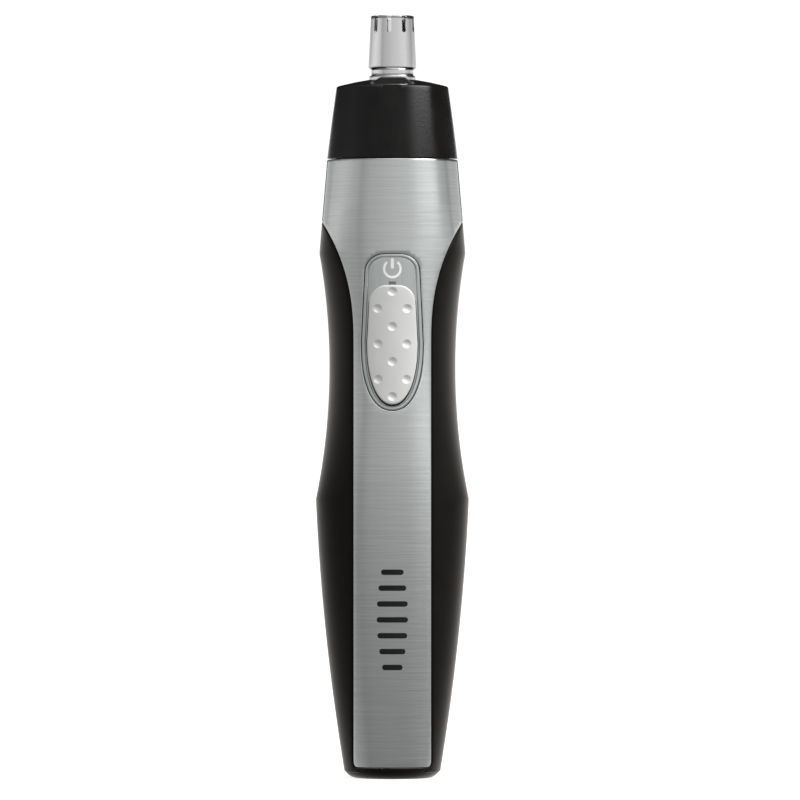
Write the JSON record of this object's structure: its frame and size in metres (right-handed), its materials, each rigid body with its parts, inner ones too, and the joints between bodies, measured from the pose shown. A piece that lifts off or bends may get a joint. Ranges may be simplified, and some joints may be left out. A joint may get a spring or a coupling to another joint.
{
  "type": "nose hair trimmer",
  "caption": "Slim battery nose hair trimmer with a slotted rotary cutter, a thumb slide switch, rubber side grips and a tilting battery door.",
  "frame": {"origin": "centre of the flat base, on the long axis", "axes": "+Z along the handle up to the cutter, +X to the viewer's right when the switch faces the viewer, and the switch faces -Y"},
  "size_m": [0.0282, 0.0261, 0.14],
  "materials": {
    "brushed_metal": "brushed across the handle",
    "bezel_metal": "brushed along the handle",
    "satin_button": "satin silver coated plastic",
    "grip_rubber": "soft matte",
    "body_black": "fine texture",
    "housing_black": "moulded",
    "seal_rubber": "smooth",
    "screw_steel": "zinc plated",
    "cap_black": "semi-gloss moulded",
    "cutter_steel": "polished",
    "white_plastic": "moulded",
    "spring_steel": "drawn wire",
    "zinc_plate": "zinc plated",
    "ferrite": "sintered",
    "copper_winding": "enamelled wire on a steel core",
    "contact_copper": "stamped",
    "cell_wrap": "plain plastic sleeve",
    "tray_grey": "moulded",
    "board_green": "lacquered",
    "lead_black": "insulated wire",
    "lead_red": "insulated wire"
  },
  "bodies": {
    "handle": {"front_plate": "brushed_metal", "rear_plate": "body_black", "rubber_grip": "grip_rubber", "base_plug": "housing_black", "front_housing": "housing_black", "rear_housing": "housing_black", "head_seat": "housing_black", "spigot_ring": "seal_rubber", "shaft_seal": "seal_rubber", "housing_screw_lower_left": "screw_steel", "housing_screw_lower_right": "screw_steel", "housing_screw_upper_left": "screw_steel", "housing_screw_upper_right": "screw_steel", "switch_bezel": "bezel_metal", "switch_board": "board_green", "battery_contact_strip": "contact_copper", "motor_contact_strip": "contact_copper", "battery": "cell_wrap", "battery_tray": "tray_grey", "battery_spring": "spring_steel", "positive_contact": "zinc_plate", "motor_can": "zinc_plate", "motor_end_cap": "white_plastic", "motor_magnet_left": "ferrite", "motor_magnet_right": "ferrite", "motor_terminal_left": "contact_copper", "motor_terminal_right": "contact_copper", "battery_lead": "lead_black", "motor_lead_positive": "lead_red", "motor_lead_switched": "lead_black"},
    "switch": {"switch_button": "satin_button", "switch_carrier": "white_plastic", "switch_wiper": "contact_copper"},
    "drive": {"motor_armature": "copper_winding", "motor_shaft": "spring_steel", "drive_coupler": "white_plastic"},
    "head": {"nose_cap": "cap_black", "outer_cutter": "cutter_steel", "head_retainer": "white_plastic", "rotor_spring": "spring_steel"},
    "cutter": {"rotor_hub": "white_plastic", "inner_cutter": "cutter_steel"},
    "door": {"battery_door": "body_black"}
  },
  "joints": [
    {"name": "switch_slide", "type": "slide", "parent": "handle", "child": "switch", "axis": [0, 0, 1], "range_m": [0, 0.0043]},
    {"name": "drive_spin", "type": "hinge", "parent": "handle", "child": "drive", "pos_m": [0, 0, 0.107], "axis": [0, 0, 1], "continuous": true},
    {"name": "head_release", "type": "slide", "parent": "handle", "child": "head", "axis": [0, 0, 1], "range_m": [0, 0.012]},
    {"name": "cutter_spin", "type": "hinge", "parent": "head", "child": "cutter", "pos_m": [0, 0, 0.1396], "axis": [0, 0, 1], "continuous": true},
    {"name": "door_tilt", "type": "hinge", "parent": "handle", "child": "door", "pos_m": [0, 0.0092, 0.0022], "axis": [-1, 0, 0], "range_deg": [0, 65]}
  ],
  "couplings": [
    {"joint": "cutter_spin", "follows": "drive_spin", "ratio": 1}
  ]
}
